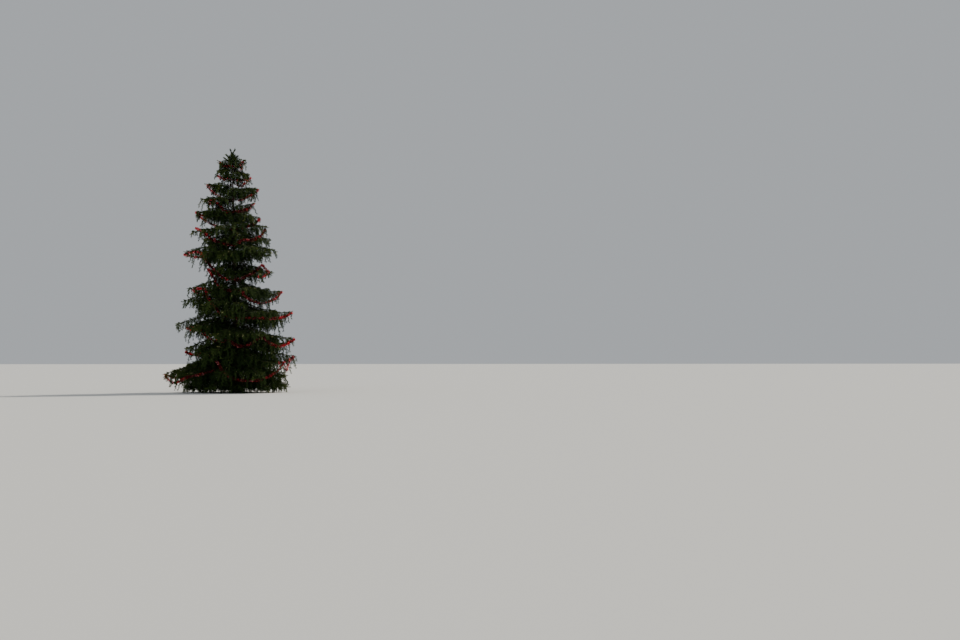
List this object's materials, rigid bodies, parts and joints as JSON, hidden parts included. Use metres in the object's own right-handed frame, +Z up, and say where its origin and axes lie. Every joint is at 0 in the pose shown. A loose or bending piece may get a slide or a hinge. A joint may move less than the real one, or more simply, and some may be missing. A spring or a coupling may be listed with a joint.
{
  "type": "spruce tree",
  "caption": "Tall free-standing spruce with a slightly leaning tapered trunk, whorls of drooping boughs and combs of hanging needled sprays.",
  "frame": {"origin": "middle of the flat cut under the trunk, at ground level", "axes": "+Z up the trunk, -Y towards the viewer of the picture, +X to that viewer's right"},
  "size_m": [6.4282, 5.7419, 12],
  "materials": {
    "bark": "rough grey-brown bark",
    "foliage": "dark green needles with olive tips"
  },
  "bodies": {
    "root": {"bough_14_back": "bark", "bough_14_front": "bark", "bough_14_left": "bark", "bough_14_right": "bark", "foliage_01_back": "foliage", "foliage_01_left": "foliage", "foliage_01_right": "foliage", "foliage_02_front": "foliage", "foliage_02_left": "foliage", "foliage_02_right": "foliage", "foliage_03_back": "foliage", "foliage_03_left": "foliage", "foliage_03_right": "foliage", "foliage_04_front": "foliage", "foliage_04_left": "foliage", "foliage_04_right": "foliage", "foliage_05_back": "foliage", "foliage_05_front": "foliage", "foliage_05_left": "foliage", "foliage_05_right": "foliage", "foliage_06_back": "foliage", "foliage_06_front": "foliage", "foliage_06_left": "foliage", "foliage_06_right": "foliage", "foliage_07_back": "foliage", "foliage_07_right": "foliage", "foliage_08_back": "foliage", "foliage_08_front": "foliage", "foliage_08_left": "foliage", "foliage_08_right": "foliage", "foliage_09_back": "foliage", "foliage_09_front": "foliage", "foliage_09_left": "foliage", "foliage_09_right": "foliage", "foliage_10_back": "foliage", "foliage_10_front": "foliage", "foliage_10_left": "foliage", "foliage_10_right": "foliage", "foliage_11_back": "foliage", "foliage_11_front": "foliage", "foliage_11_left": "foliage", "foliage_11_right": "foliage", "foliage_12_back": "foliage", "foliage_12_front": "foliage", "foliage_12_left": "foliage", "foliage_12_right": "foliage", "foliage_13_back": "foliage", "foliage_13_front": "foliage", "foliage_13_left": "foliage", "foliage_13_right": "foliage", "foliage_14_back": "foliage", "foliage_14_front": "foliage", "foliage_14_left": "foliage", "foliage_14_right": "foliage", "foliage_15_back": "foliage", "foliage_15_front": "foliage", "foliage_15_left": "foliage", "foliage_15_right": "foliage", "foliage_leader": "foliage", "trunk": "bark"}
  },
  "joints": []
}
